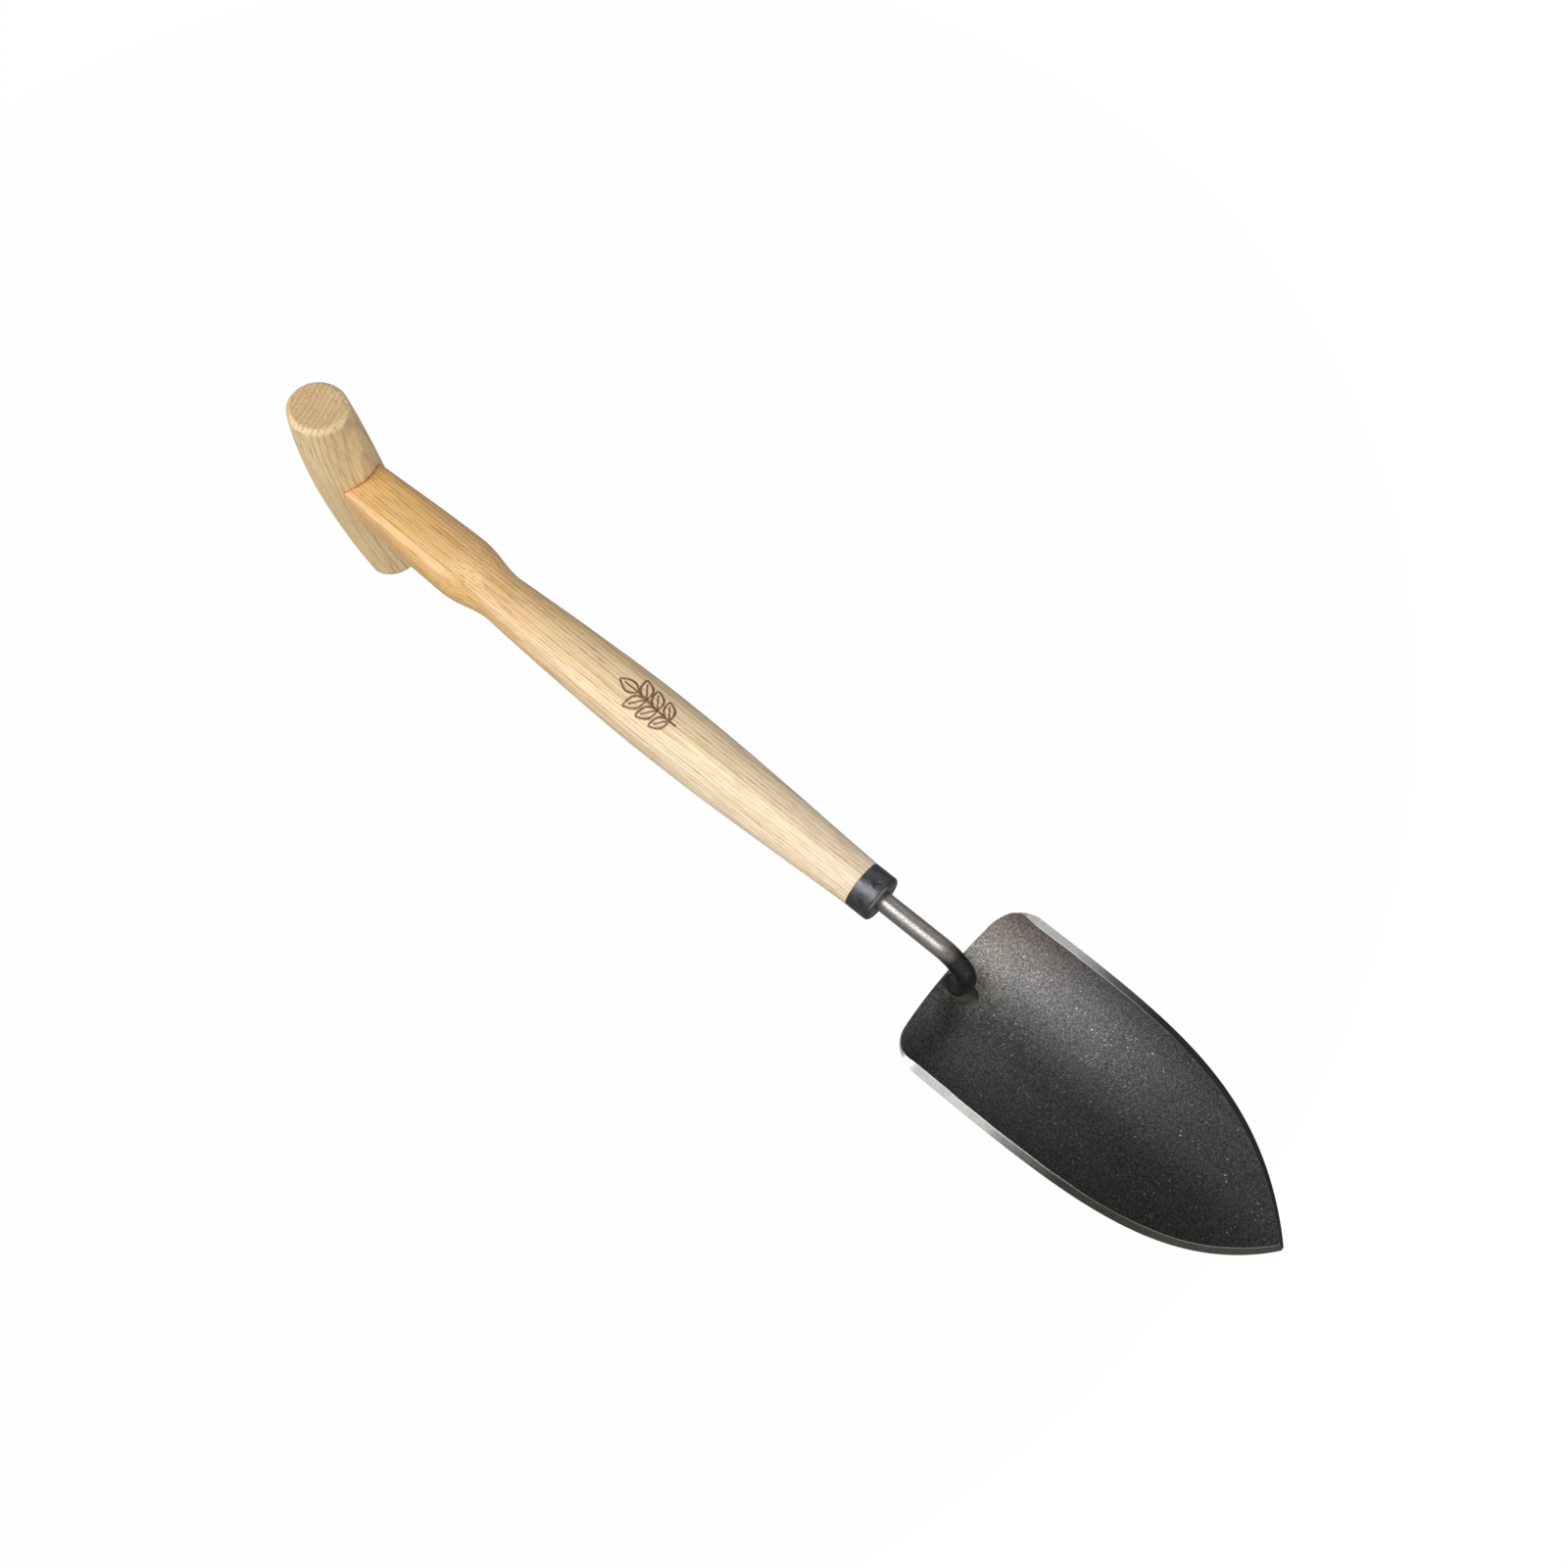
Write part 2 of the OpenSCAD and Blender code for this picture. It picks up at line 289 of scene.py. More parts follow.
def make_blade():
    corner, side, strips = 28, 96, 56
    ribs = corner + side
    size = 2 * (strips + 1) + 2

    def bevel(j):
        if j < corner:
            return BEVEL_START + (BEVEL_SIDE - BEVEL_START) * ease((90 * j / corner - BEVEL_FROM) / BEVEL_OVER)
        return BEVEL_SIDE + (BEVEL_TIP - BEVEL_SIDE) * (j - corner) / side

    def rim(j, inset):
        if j < corner:
            a = math.pi / 2 * j / corner
            r = SHOULDER_R - inset
            return CORNER_X - r * math.cos(a), CORNER_W + r * math.sin(a)
        t = 1 - (1 - (j - corner) / side) ** 1.5
        tip = TIP_X - 1.35 * inset
        x = CORNER_X + (tip - CORNER_X) * t
        return x, side_w(x, HALF_W - inset, tip)

    def point(j, f, edge, r):
        bow = EDGE_BOW / CORNER_W ** 2 * (1 - j / ribs)
        w = f * edge[1]
        x = edge[0] - bow * (edge[1] ** 2 - w * w)
        return x, w, hollow_z(x, w, r)

    points = []
    for j in range(ribs + 1):
        back = rim(j, 0)
        rb = HOLLOW_R + THICK
        wave = BEVEL_WAVE * min(1, j / 6)
        fronts = [rim(j, bevel(j) + wave * wobble(back[0], s * 40, 0, BEVEL_WAVE_SIZE)) for s in (-1, 1)]
        ring = [point(j, 2 * i / strips - 1, back, rb) for i in range(strips + 1)]
        lift = lambda p: (p[0], p[1], p[2] + LAND)
        ring.append(lift(point(j, 1, back, rb)))
        for i in range(strips, -1, -1):
            f = 2 * i / strips - 1
            ring.append(point(j, f, fronts[1 if f > 0 else 0], HOLLOW_R))
        ring.append(lift(point(j, -1, back, rb)))
        points += ring
    faces = tube_faces(ribs + 1, size)
    kinds = []
    for j in range(ribs):
        for i in range(size):
            kinds.append(GROUND if strips <= i <= strips + 1 or i >= size - 2 else OXIDE)
    for first, flip in ((0, False), (ribs * size, True)):
        cap = []
        for i in range(strips):
            far = first + 2 * strips + 2 - i
            cap.append((first + i, first + i + 1, far - 1, far))
        cap.append((first + strips, first + strips + 1, first + strips + 2))
        cap.append((first, first + 2 * strips + 2, first + 2 * strips + 3))
        faces += [tuple(reversed(f)) if flip else f for f in cap]
        kinds += [GROUND if flip else OXIDE] * len(cap)
    obj = piece("blade_sheet", points, faces, [oxide_steel(), ground_steel()], "blade",
                kinds, BLADE_SHARP)
    inner = [1.0 if strips + 1 < i < size - 1 else 0.0 for i in range(size)]
    float_attribute(obj, "rim", inner * (ribs + 1))


def oxide_steel():
    """Dark pressed sheet: sandy mill scale, pale specks, short scratches, a rub round the foot of the tang
    and a warmer patch at one shoulder, darkened towards the tip by painted shade."""
    n = Nodes("oxide_steel")
    p = n.position()
    grain = n.noise(p, 1150, 4.0, 0.85)
    fine = n.noise(p, 3600, 2.0, 0.6)
    cloud = n.noise(p, 60, 4.0, 0.6)
    specks = n.range(n.noise(n.mapped(p, (1, 1, 1), (3.1, 0, 0)), 1000, 1.0, 0.4), 0.73, 0.78)
    turn = n.new("Mapping", vector_type="TEXTURE")
    n.put(turn.inputs["Vector"], p)
    turn.inputs["Rotation"].default_value = (0, 0, math.radians(62))
    scratch = n.range(n.noise(n.mapped(turn.outputs["Vector"], (330, 2600, 1200)), 1, 1.0, 0.4), 0.68, 0.73)
    middle = n.math("ABSOLUTE", n.math("SUBTRACT", n.split(p)[1], 0.006))
    scuffs = n.times(n.range(cloud, 0.42, 0.6), n.range(middle, 0.030, 0.014))
    scuffs = n.times(n.times(scratch, scuffs), n.range(n.split(p)[0], 0.225, 0.175))
    base = n.ramp(grain, [(0.34, (0.050, 0.050, 0.051)), (0.50, (0.135, 0.134, 0.132)),
                          (0.65, (0.285, 0.281, 0.274))])
    x, y = n.split(p)[0:2]
    # painted shade: the oxide is darkened towards the tip, where the sheen falls off along the blade
    tip_painted_shade = n.sway(n.range(x, 0.105, 0.235), cloud, 0.25)
    base = n.mix(tip_painted_shade, base, n.tint(base, (0.47, 0.47, 0.47)))
    warm = n.times(n.range(x, 0.165, 0.115), n.range(y, 0.012, 0.034))
    warm = n.times(warm, n.range(cloud, 0.3, 0.6, 0.3, 1.0))
    tinted = n.mix(warm, base, n.tint(base, (1.18, 0.98, 0.88)))
    foot = n.new("VectorMath", operation="DISTANCE")
    n.put(foot.inputs[0], p)
    foot.inputs[1].default_value = ((RUB_X + FRONT) * MM, RUB_Y * MM, (AXIS_Z - HOLLOW_DROP) * MM)
    rubbed = n.times(n.range(foot.outputs["Value"], 0.022, 0.006), n.range(grain, 0.42, 0.6))
    tinted = n.mix(n.times(rubbed, 0.7), tinted, (0.34, 0.315, 0.26))
    marks = n.math("MAXIMUM", n.times(specks, 0.8), n.times(scuffs, 0.8))
    colour = n.mix(marks, tinted, (0.68, 0.67, 0.65))
    rough = n.math("ADD", n.times(grain, 0.16), n.times(cloud, 0.06))
    rough = n.math("ADD", rough, 0.19)
    bump = n.bump(grain, 0.6, 0.00012, n.bump(fine, 0.25, 0.00005))
    return n.finish(Base_Color=colour, Metallic=1.0, Roughness=rough, Normal=bump)


def ground_steel():
    """Bevel off the grinding belt, with a painted reflection bright at the shoulders that fades to dark towards the
    tip, and a painted highlight along its inner edge.
    """
    n = Nodes("ground_steel")
    p = n.position()
    x, y = n.split(p)[0:2]
    lines = n.noise(n.mapped(p, (2600, 420, 420)), 1, 2.0, 0.6)
    patch = n.noise(p, 110, 3.0, 0.6)
    # painted reflection: the bevel's colour runs from bright at the shoulders to dark towards the tip, starting
    # earlier on the -y side
    along = n.range(x, (CORNER_X + FRONT - 14) * MM, (TIP_X + FRONT - 20) * MM)
    along = n.math("SUBTRACT", along, n.range(y, 0.01, -0.01, 0.0, 0.09))
    along = n.sway(along, patch, 0.12)
    colour = n.ramp(along, [(0.0, (0.76, 0.76, 0.745)), (0.15, (0.66, 0.655, 0.635)),
                            (0.30, (0.24, 0.232, 0.218)), (0.5, (0.085, 0.078, 0.069)),
                            (1.0, (0.045, 0.039, 0.033))])
    colour = n.mix(n.range(lines, 0.35, 0.75, 0.0, 0.5), colour, n.tint(colour, (0.6, 0.6, 0.6)))
    # painted highlight: a thin bright line along the bevel's inner edge, fading towards the tip
    inner = n.range(n.attribute("rim", "Fac"), 0.86, 0.96)
    inner = n.times(inner, n.range(along, 0.75, 0.2, 0.15, 1.0))
    colour = n.mix(n.times(inner, n.range(lines, 0.3, 0.5, 0.5, 1.0)), colour, (0.95, 0.95, 0.93))
    bump = n.bump(lines, 0.35, 0.00006)
    return n.finish(Base_Color=colour, Metallic=n.range(along, 0.1, 0.35, 0.6, 1.0),
                    Roughness=n.range(patch, 0.3, 0.7, 0.34, 0.46), Normal=bump)


# ---------------------------------------------------------------- tang and weld

TANG_R = 4.3
STRAIGHT = 29.0
ELBOW_R = 15.0
ELBOW = math.radians(100)
SPIKE = 85.0
PAINTED_SHADE_ROW, PAINTED_SHADE_ROWS = 31, 13  # row of the path where the painted shade on the elbow starts, and over how many it deepens
ELBOW_END = (STRAIGHT + ELBOW_R * math.sin(ELBOW), ELBOW_R * (math.cos(ELBOW) - 1))
LEG_DROP = HOLLOW_DROP + ELBOW_END[1] + (TILT_ORIGIN - ELBOW_END[0]) * BLADE_TILT
FOOT = (ELBOW_END[0] + LEG_DROP / math.tan(ELBOW), ELBOW_END[1] - LEG_DROP)


def tang_path():
    """Centre line of the bar as (x, z, heading, radius), from the hidden point of the spike to the foot."""
    rows = [(-SPIKE, 0.0, 0.0, 1.5), (-SPIKE + 14, 0.0, 0.0, TANG_R)]
    rows += [(x, 0.0, 0.0, TANG_R) for x in np.linspace(-60, 0, 7)]
    rows += [(x, 0.0, 0.0, TANG_R) for x in np.linspace(1.5, STRAIGHT, 24)]
    for a in np.linspace(0, ELBOW, 40)[1:]:
        rows.append((STRAIGHT + ELBOW_R * math.sin(a), ELBOW_R * (math.cos(a) - 1), a, TANG_R))
    for t in np.linspace(0, 1, 16)[1:]:
        x = ELBOW_END[0] + (FOOT[0] - ELBOW_END[0]) * t
        z = ELBOW_END[1] - LEG_DROP * t
        rows.append((x, z, ELBOW, TANG_R + 0.25 * ease((t - 0.55) / 0.45)))
    return rows


def make_tang():
    sides = 64
    rows = tang_path()
    points, along = [], []
    for k, (x, z, a, r) in enumerate(rows):
        last = k == len(rows) - 1
        for i in range(sides):
            q = 2 * math.pi * i / sides
            spread = r * math.cos(q)
            px = x + spread * math.sin(a)
            pz = z + spread * math.cos(a)
            py = r * math.sin(q)
            if last:
                pz = hollow_z(px, py) + 0.05
            points.append((px, py, pz))
            along.append(k)
    faces = tube_faces(len(rows), sides)
    first = (len(rows) - 1) * sides
    faces.append(tuple(range(sides)))
    faces.append(tuple(reversed(range(first, first + sides))))
    obj = piece("tang_bar", points, turned(faces), [bar_steel()], "tang", None, METAL_SHARP)
    # painted shade from the elbow down, stored per row of the path
    float_attribute(obj, "elbow_painted_shade", [ease((k - PAINTED_SHADE_ROW) / PAINTED_SHADE_ROWS) for k in along])


def bar_steel():
    """Drawn bar with a sandy skin and small dents, darkened from the elbow down by painted shade standing in for the
    dark reflection past the bend.
    """
    n = Nodes("bar_steel")
    p = n.position()
    cloud = n.noise(p, 170, 4.0, 0.6)
    sand = n.noise(p, 1300, 3.0, 0.7)
    pits = n.range(n.noise(n.mapped(p, (1, 1, 1), (2.0, 0, 0)), 600, 2.0, 0.5), 0.68, 0.76)
    bright = n.ramp(sand, [(0.3, (0.30, 0.277, 0.258)), (0.5, (0.44, 0.412, 0.386)),
                           (0.7, (0.58, 0.553, 0.526))])
    dark = n.ramp(sand, [(0.3, (0.020, 0.0195, 0.019)), (0.7, (0.046, 0.045, 0.044))])
    # painted shade: the elbow and leg are darkened in place of the dark reflection the bend turns towards
    elbow_painted_shade = n.sway(n.attribute("elbow_painted_shade", "Fac"), cloud, 0.3)
    colour = n.mix(elbow_painted_shade, bright, dark)
    colour = n.mix(n.times(pits, 0.5), colour, (0.12, 0.105, 0.095))
    rough = n.math("ADD", n.range(cloud, 0.3, 0.7, 0.33, 0.40), n.times(elbow_painted_shade, 0.16))
    bump = n.bump(pits, -0.15, 0.0001, n.bump(sand, 0.10, 0.00005))
    return n.finish(Base_Color=colour, Metallic=1.0, Roughness=rough, Normal=bump)


def make_weld():
    """Bead round the foot with a lump run out in front; its skin is uneven."""
    rings, sides = 22, 96
    points = []
    for j in range(rings):
        t = j / (rings - 1)
        for i in range(sides):
            q = 2 * math.pi * i / sides
            ahead = math.exp(-((abs((q + math.pi) % (2 * math.pi) - math.pi)) / 0.62) ** 2)
            ripple = 1 + 0.10 * wobble(3 * math.cos(q), 3 * math.sin(q), t, 0.8)
            reach = (2.1 + 4.4 * ahead) * ripple
            high = (2.0 + 1.3 * ahead) * ripple
            u = math.sin(math.pi / 2 * t)
            out = TANG_R - 0.15 + reach * t
            lift = high * math.sqrt(max(0.0, 1 - u * u)) * (1 + 0.06 * wobble(i, j, 0, 5.0))
            x = FOOT[0] + out * math.cos(q) + 0.17 * lift
            y = out * math.sin(q)
            points.append((x, y, hollow_z(x, y) + lift - 0.03))
    base = len(points)
    for i in range(sides):
        q = 2 * math.pi * i / sides
        x = FOOT[0] + (TANG_R - 0.3) * math.cos(q)
        y = (TANG_R - 0.3) * math.sin(q)
        points.append((x, y, hollow_z(x, y) - 0.03))
    faces = tube_faces(rings, sides)
    inner = [(i, (i + 1) % sides, base + (i + 1) % sides, base + i) for i in range(sides)]
    outer = (rings - 1) * sides
    under = [(base + i, base + (i + 1) % sides, outer + (i + 1) % sides, outer + i) for i in range(sides)]
    piece("weld_bead_skin", points, turned(faces + inner + under), [weld_steel()],
          "weld_bead", None, 60.0)


def weld_steel():
    n = Nodes("weld_steel")
    p = n.position()
    cloud = n.noise(p, 420, 4.0, 0.6)
    fine = n.noise(p, 2200, 3.0, 0.6)
    colour = n.ramp(cloud, [(0.3, (0.022, 0.018, 0.014)), (0.5, (0.045, 0.042, 0.034)),
                            (0.68, (0.095, 0.088, 0.068)), (0.85, (0.26, 0.25, 0.21))])
    bump = n.bump(fine, 0.5, 0.0002, n.bump(cloud, 0.5, 0.0006))
    return n.finish(Base_Color=colour, Metallic=0.6, Roughness=n.range(fine, 0.3, 0.7, 0.42, 0.65),
                    Normal=bump)


# ---------------------------------------------------------------- ferrule

FERRULE_R = 10.4
FERRULE_LEN = 11.4
FERRULE_WALL = 1.0
FERRULE_ROUND, FERRULE_EDGE = 1.8, 0.3
METAL_SHARP = 40.0
NAIL_AT = -4.1
NAIL_ANGLE = math.radians(8)


def make_ferrule():
    sides = 192
    inner, small, round_at = FERRULE_R - FERRULE_WALL, FERRULE_EDGE, FERRULE_R - FERRULE_ROUND
    outline = [(-FERRULE_LEN, inner), (-FERRULE_LEN, FERRULE_R - small)]
    outline += [(-FERRULE_LEN + small - small * math.cos(a), FERRULE_R - small + small * math.sin(a))
                for a in np.linspace(0.3, math.pi / 2, 5)]
    outline += [(x, FERRULE_R) for x in np.linspace(-FERRULE_LEN + 0.6, -FERRULE_ROUND - 0.2, 38)]
    outline += [(-FERRULE_ROUND + FERRULE_ROUND * math.sin(a), round_at + FERRULE_ROUND * math.cos(a))
                for a in np.linspace(0.05, math.pi / 2, 14)]
    outline += [(0.0, r) for r in np.linspace(round_at - 0.8, TANG_R + 0.6, 6)]
    outline += [(-0.12, TANG_R + 0.25), (-0.4, TANG_R), (-FERRULE_WALL, TANG_R), (-FERRULE_WALL, inner)]
    points = []
    for x, r in outline:
        for i in range(sides):
            q = 2 * math.pi * i / sides
            dent = 0.0
            if r > FERRULE_R - 1:
                turned = (q - NAIL_ANGLE + math.pi) % (2 * math.pi) - math.pi
                reach = math.hypot(x - NAIL_AT, FERRULE_R * turned)
                dent = 0.55 * math.exp(-(reach / 1.35) ** 2) - 0.12 * math.exp(-((reach - 2.4) / 0.8) ** 2)
                dent += 0.05 * wobble(x, 10 * math.cos(q), 10 * math.sin(q), 3.0)
            rr = r - max(dent, -0.05)
            points.append((x, rr * math.sin(q), rr * math.cos(q)))
    faces = tube_faces(len(outline), sides)
    last = (len(outline) - 1) * sides
    faces += [(i, (i + 1) % sides, last + (i + 1) % sides, last + i) for i in range(sides)]
    piece("ferrule_cap", points, faces, [black_steel()], "ferrule", None, METAL_SHARP)


def make_nail():
    """Sunk head of the nail, with its shank down into the wood."""
    sides = 40
    c, s = math.cos(NAIL_ANGLE), math.sin(NAIL_ANGLE)
    outline = [(1.2, -5.0), (1.2, -0.75), (1.05, -0.55), (0.8, -0.45), (0.45, -0.42)]
    points = []
    for r, h in outline:
        for i in range(sides):
            q = 2 * math.pi * i / sides
            side, up = r * math.sin(q), FERRULE_R + h + 0.04 * wobble(7 * r, q, h, 0.6)
            points.append((NAIL_AT + r * math.cos(q), side * c + up * s, up * c - side * s))
    faces = tube_faces(len(outline), sides)
    first = (len(outline) - 1) * sides
    faces += [tuple(range(sides)), tuple(reversed(range(first, first + sides)))]
    piece("ferrule_nail_head", points, turned(faces), [black_steel("nail_steel", 0.8)],
          "ferrule_nail", None, METAL_SHARP)


def black_steel(name="black_steel", tone=1.0):
    """Blackened, oiled steel with a soft cold sheen and worn paler spots."""
    n = Nodes(name)
    p = n.position()
    cloud = n.noise(p, 260, 4.0, 0.6)
    fine = n.noise(p, 1700, 3.0, 0.65)
    worn = n.range(n.noise(p, 520, 3.0, 0.55), 0.62, 0.76)
    base = n.ramp(cloud, [(0.3, (0.095 * tone, 0.097 * tone, 0.10 * tone)),
                          (0.7, (0.155 * tone, 0.158 * tone, 0.165 * tone))])
    colour = n.mix(n.times(worn, 0.45), base, (0.34, 0.335, 0.335))
    rough = n.range(cloud, 0.3, 0.7, 0.31, 0.42)
    bump = n.bump(fine, 0.35, 0.0001, n.bump(cloud, 0.3, 0.0003))
    return n.finish(Base_Color=colour, Metallic=1.0, Roughness=rough, Normal=bump)


# ---------------------------------------------------------------- wood

def ash(name, light, mid, dark, ring_mm, ring_depth, pith, straight, pore_strength):
    """Clear-lacquered ash. The attribute 'grain' holds (along, across, depth) in metres in the straight log."""
    n = Nodes(name)
    g = n.attribute("grain")
    along, across, depth = n.split(g)[0:3]
    slow = n.noise(n.mapped(g, (4.5, 30, 30)), 1, 2.0, 0.5)
    slow2 = n.noise(n.mapped(g, (6, 34, 34), (4.0, 1.0, 7.0)), 1, 2.0, 0.5)
    a = n.math("ADD", across, n.times(n.math("SUBTRACT", slow, 0.5), straight))
    a = n.math("ADD", a, n.times(along, pith[2]))
    d = n.math("ADD", depth, n.times(n.math("SUBTRACT", slow2, 0.5), straight))
    a = n.math("SUBTRACT", a, pith[0])
    d = n.math("SUBTRACT", d, pith[1])
    radius = n.math("SQRT", n.math("ADD", n.times(a, a), n.times(d, d)))
    rings = n.times(radius, 1.0 / (ring_mm * MM))
    number = n.math("FLOOR", rings)
    year = n.math("FRACT", rings)
    early = n.times(n.range(year, 0.0, 0.14), n.range(year, 0.16, 0.55, 1.0, 0.0))
    each_ring = n.join(n.times(number, 0.73), 3.3, n.times(along, 2.0))
    weight = n.noise(each_ring, 1.0, 1.0, 0.5)
    early = n.times(early, n.range(weight, 0.3, 0.62, 0.3, 1.0))
    pores = n.range(n.noise(n.mapped(g, (90, 2300, 2300)), 1, 2.0, 0.55), 0.52, 0.68)
    porous = n.times(pores, n.math("ADD", n.times(early, 0.85), 0.15))
    fibre = n.noise(n.mapped(g, (8, 1000, 1000), (0, 3, 0)), 1, 4.0, 0.7)
    tone = n.noise(n.mapped(g, (7, 70, 70), (2, 0, 5)), 1, 2.0, 0.5)
    body = n.mix(n.range(tone, 0.34, 0.66), mid, light)
    colour = n.mix(n.times(early, ring_depth), body, dark)
    colour = n.mix(n.range(fibre, 0.55, 0.36, 0.0, 0.5), colour, dark)
    colour = n.mix(n.range(fibre, 0.44, 0.33, 0.0, 0.2), colour, n.tint(dark, (0.7, 0.6, 0.5)))
    colour = n.mix(n.times(porous, pore_strength), colour, n.tint(dark, (0.5, 0.46, 0.42)))
    return n, colour, porous, fibre


def wood_shader(parts, coat, coat_rough, colour=None, burn=None):
    n, base, porous, fibre = parts
    height = n.math("SUBTRACT", n.times(fibre, 0.4), porous)
    if burn is not None:
        height = n.math("SUBTRACT", height, burn)
    bump = n.bump(height, 0.7, 0.00028)
    rough = n.range(fibre, 0.3, 0.7, 0.44, 0.56)
    return n.finish(Base_Color=base if colour is None else colour, Roughness=rough, Normal=bump,
                    Coat_Weight=coat, Coat_Roughness=coat_rough, Coat_IOR=1.5, Coat_Normal=bump)


SHAFT_FRONT_R = 10.45
BELLY_R, BELLY_AT = 14.9, 130.0
WAIST_R, WAIST_AT = 11.7, 221.0
BULGE_R, BULGE_AT = 15.7, 249.0
SHAFT_BACK_R = 15.0
FLAT_SIDE, FLAT_TOP, FLAT_BOTTOM = 12.2, 12.4, 11.4
FLAT_SLOPE = math.tan(math.radians(3.7))
CROSS_AT = 326.0
CROSS_MID_R, CROSS_END_R = 16.4, 13.6
BEND_R = 303.0
CROSS_UP, CROSS_DOWN = 55.0, 62.0
CROSS_CHAMFER = 2.3
FLAT_AT = CROSS_AT - CROSS_MID_R
MARK_AT = 128.0


def shaft_r(x):
    """Radius of the turned shaft at the distance x behind the ferrule's front."""
    if x < BELLY_AT:
        t = max(0.0, (x - FERRULE_LEN) / (BELLY_AT - FERRULE_LEN)) ** 1.12
        return SHAFT_FRONT_R + (BELLY_R - SHAFT_FRONT_R) * math.sin(math.pi / 2 * t)
    if x < WAIST_AT:
        return BELLY_R + (WAIST_R - BELLY_R) * ((x - BELLY_AT) / (WAIST_AT - BELLY_AT)) ** 1.5
    if x < BULGE_AT:
        t = (x - WAIST_AT) / (BULGE_AT - WAIST_AT)
        return WAIST_R + (BULGE_R - WAIST_R) * (1 - math.cos(math.pi * t)) / 2
    t = min(1.0, (x - BULGE_AT) / (CROSS_AT - BULGE_AT))
    return BULGE_R + (SHAFT_BACK_R - BULGE_R) * (1 - math.cos(math.pi * t)) / 2


def shaft_section(x, q):
    """Radius at the angle q from straight up: round, with four soft-edged flats near the crosspiece."""
    r = shaft_r(x)
    if x < 225:
        return r
    rise = (FLAT_AT - x) * FLAT_SLOPE
    power = 18
    total = r ** -power
    quarter = math.pi / 2
    for flat, h in ((0.0, FLAT_TOP), (math.pi, FLAT_BOTTOM), (quarter, FLAT_SIDE), (-quarter, FLAT_SIDE)):
        c = math.cos(q - flat)
        if c > 0.05:
            total += (c / (h + rise)) ** power
    return total ** (-1 / power)


def crosspiece_front(y, z):
    """x of the crosspiece's surface on the shaft's side."""
    return -CROSS_AT + math.sqrt(max(0.0, CROSS_MID_R ** 2 - y * y)) + z * z / (2 * BEND_R)


def leaf_mark(x, s):
    """Strength of the burnt mark, a sprig of seven leaves, at x along and s across in mm from its middle."""
    def stroke(distance, half):
        return 1 - ease((abs(distance) - half + 0.16) / 0.32)

    def stem(at):
        return 0.9 * math.sin(at / 9)

    best = stroke(s - stem(x), 0.52) if -16.5 < x < 7 else 0.0
    leaves = [(6.5, 0.0, 11.0)]
    for k, base in enumerate((1.5, -5.5, -12.5)):
        leaves += [(base, 0.87, 11.0 - 0.7 * k), (base, -0.87, 11.0 - 0.7 * k)]
    for base, lean, long in leaves:
        dx, ds = x - base, s - stem(base)
        u = dx * math.cos(lean) + ds * math.sin(lean)
        v = ds * math.cos(lean) - dx * math.sin(lean)
        if 0 < u < long:
            half = 0.25 * long * math.sin(math.pi * (u / long) ** 0.85)
            best = max(best, stroke(abs(v) - half, 0.56), stroke(v, 0.40) if u < 0.75 * long else 0)
    return best


def make_shaft():
    xs = [FERRULE_LEN - 0.4, FERRULE_LEN, FERRULE_LEN + 0.25]
    xs += list(np.arange(FERRULE_LEN + 1.0, MARK_AT - 22, 1.6))
    xs += list(np.arange(MARK_AT - 22, MARK_AT + 22, 0.3))
    xs += list(np.arange(MARK_AT + 22, FLAT_AT - 10, 1.2))
    top = list(np.linspace(-0.95, 0.95, 116))
    angles = top + list(np.linspace(0.95, 2 * math.pi - 0.95, 92))[1:-1]
    size = len(angles)
    rows = [[(-x, shaft_section(x, q) - (0.3 if k == 0 else 0.0), q) for q in angles] for k, x in enumerate(xs)]
    last_x = xs[-1]
    steps = 16
    for k in range(1, steps + 1):
        row = []
        for q in angles:
            t = k / steps
            guess = last_x
            for _ in range(4):
                r = shaft_section(guess, q)
                guess = -crosspiece_front(r * math.sin(q), r * math.cos(q)) + 0.05
            x = last_x + (guess - last_x) * (1 - (1 - t) ** 1.6)
            left = guess - x
            round_off = 0.7 * max(0.0, 1 - left / 1.4) ** 2
            row.append((-x, shaft_section(x, q) - round_off, q))
        rows.append(row)
    points = [(x, r * math.sin(q), r * math.cos(q)) for row in rows for x, r, q in row]
    for shrink in (0.8, 0.55, 0.3):
        for x, r, q in rows[-1]:
            y, z = r * shrink * math.sin(q), r * shrink * math.cos(q)
            points.append((crosspiece_front(y, z) - 0.05, y, z))
    faces = tube_faces(len(rows) + 3, size)
    last = (len(rows) + 2) * size
    faces += [tuple(reversed(range(size))), tuple(range(last, last + size))]
    burn = []
    for x, y, z in points:
        q = math.atan2(y, z)
        u, s = -x - MARK_AT, q * BELLY_R
        inside = abs(u) < 21 and abs(s) < 12
        burn.append(leaf_mark(u, s) if inside else 0.0)
    obj = piece("shaft_wood", points, faces, [shaft_ash()], "handle_shaft", None, 50.0)
    vector_attribute(obj, "grain", [((x + 300) * MM, y * MM, z * MM) for x, y, z in points])
    float_attribute(obj, "burn", burn)
    float_attribute(obj, "saddle", [ease(1 - (x - crosspiece_front(y, z)) / 2.2) for x, y, z in points])


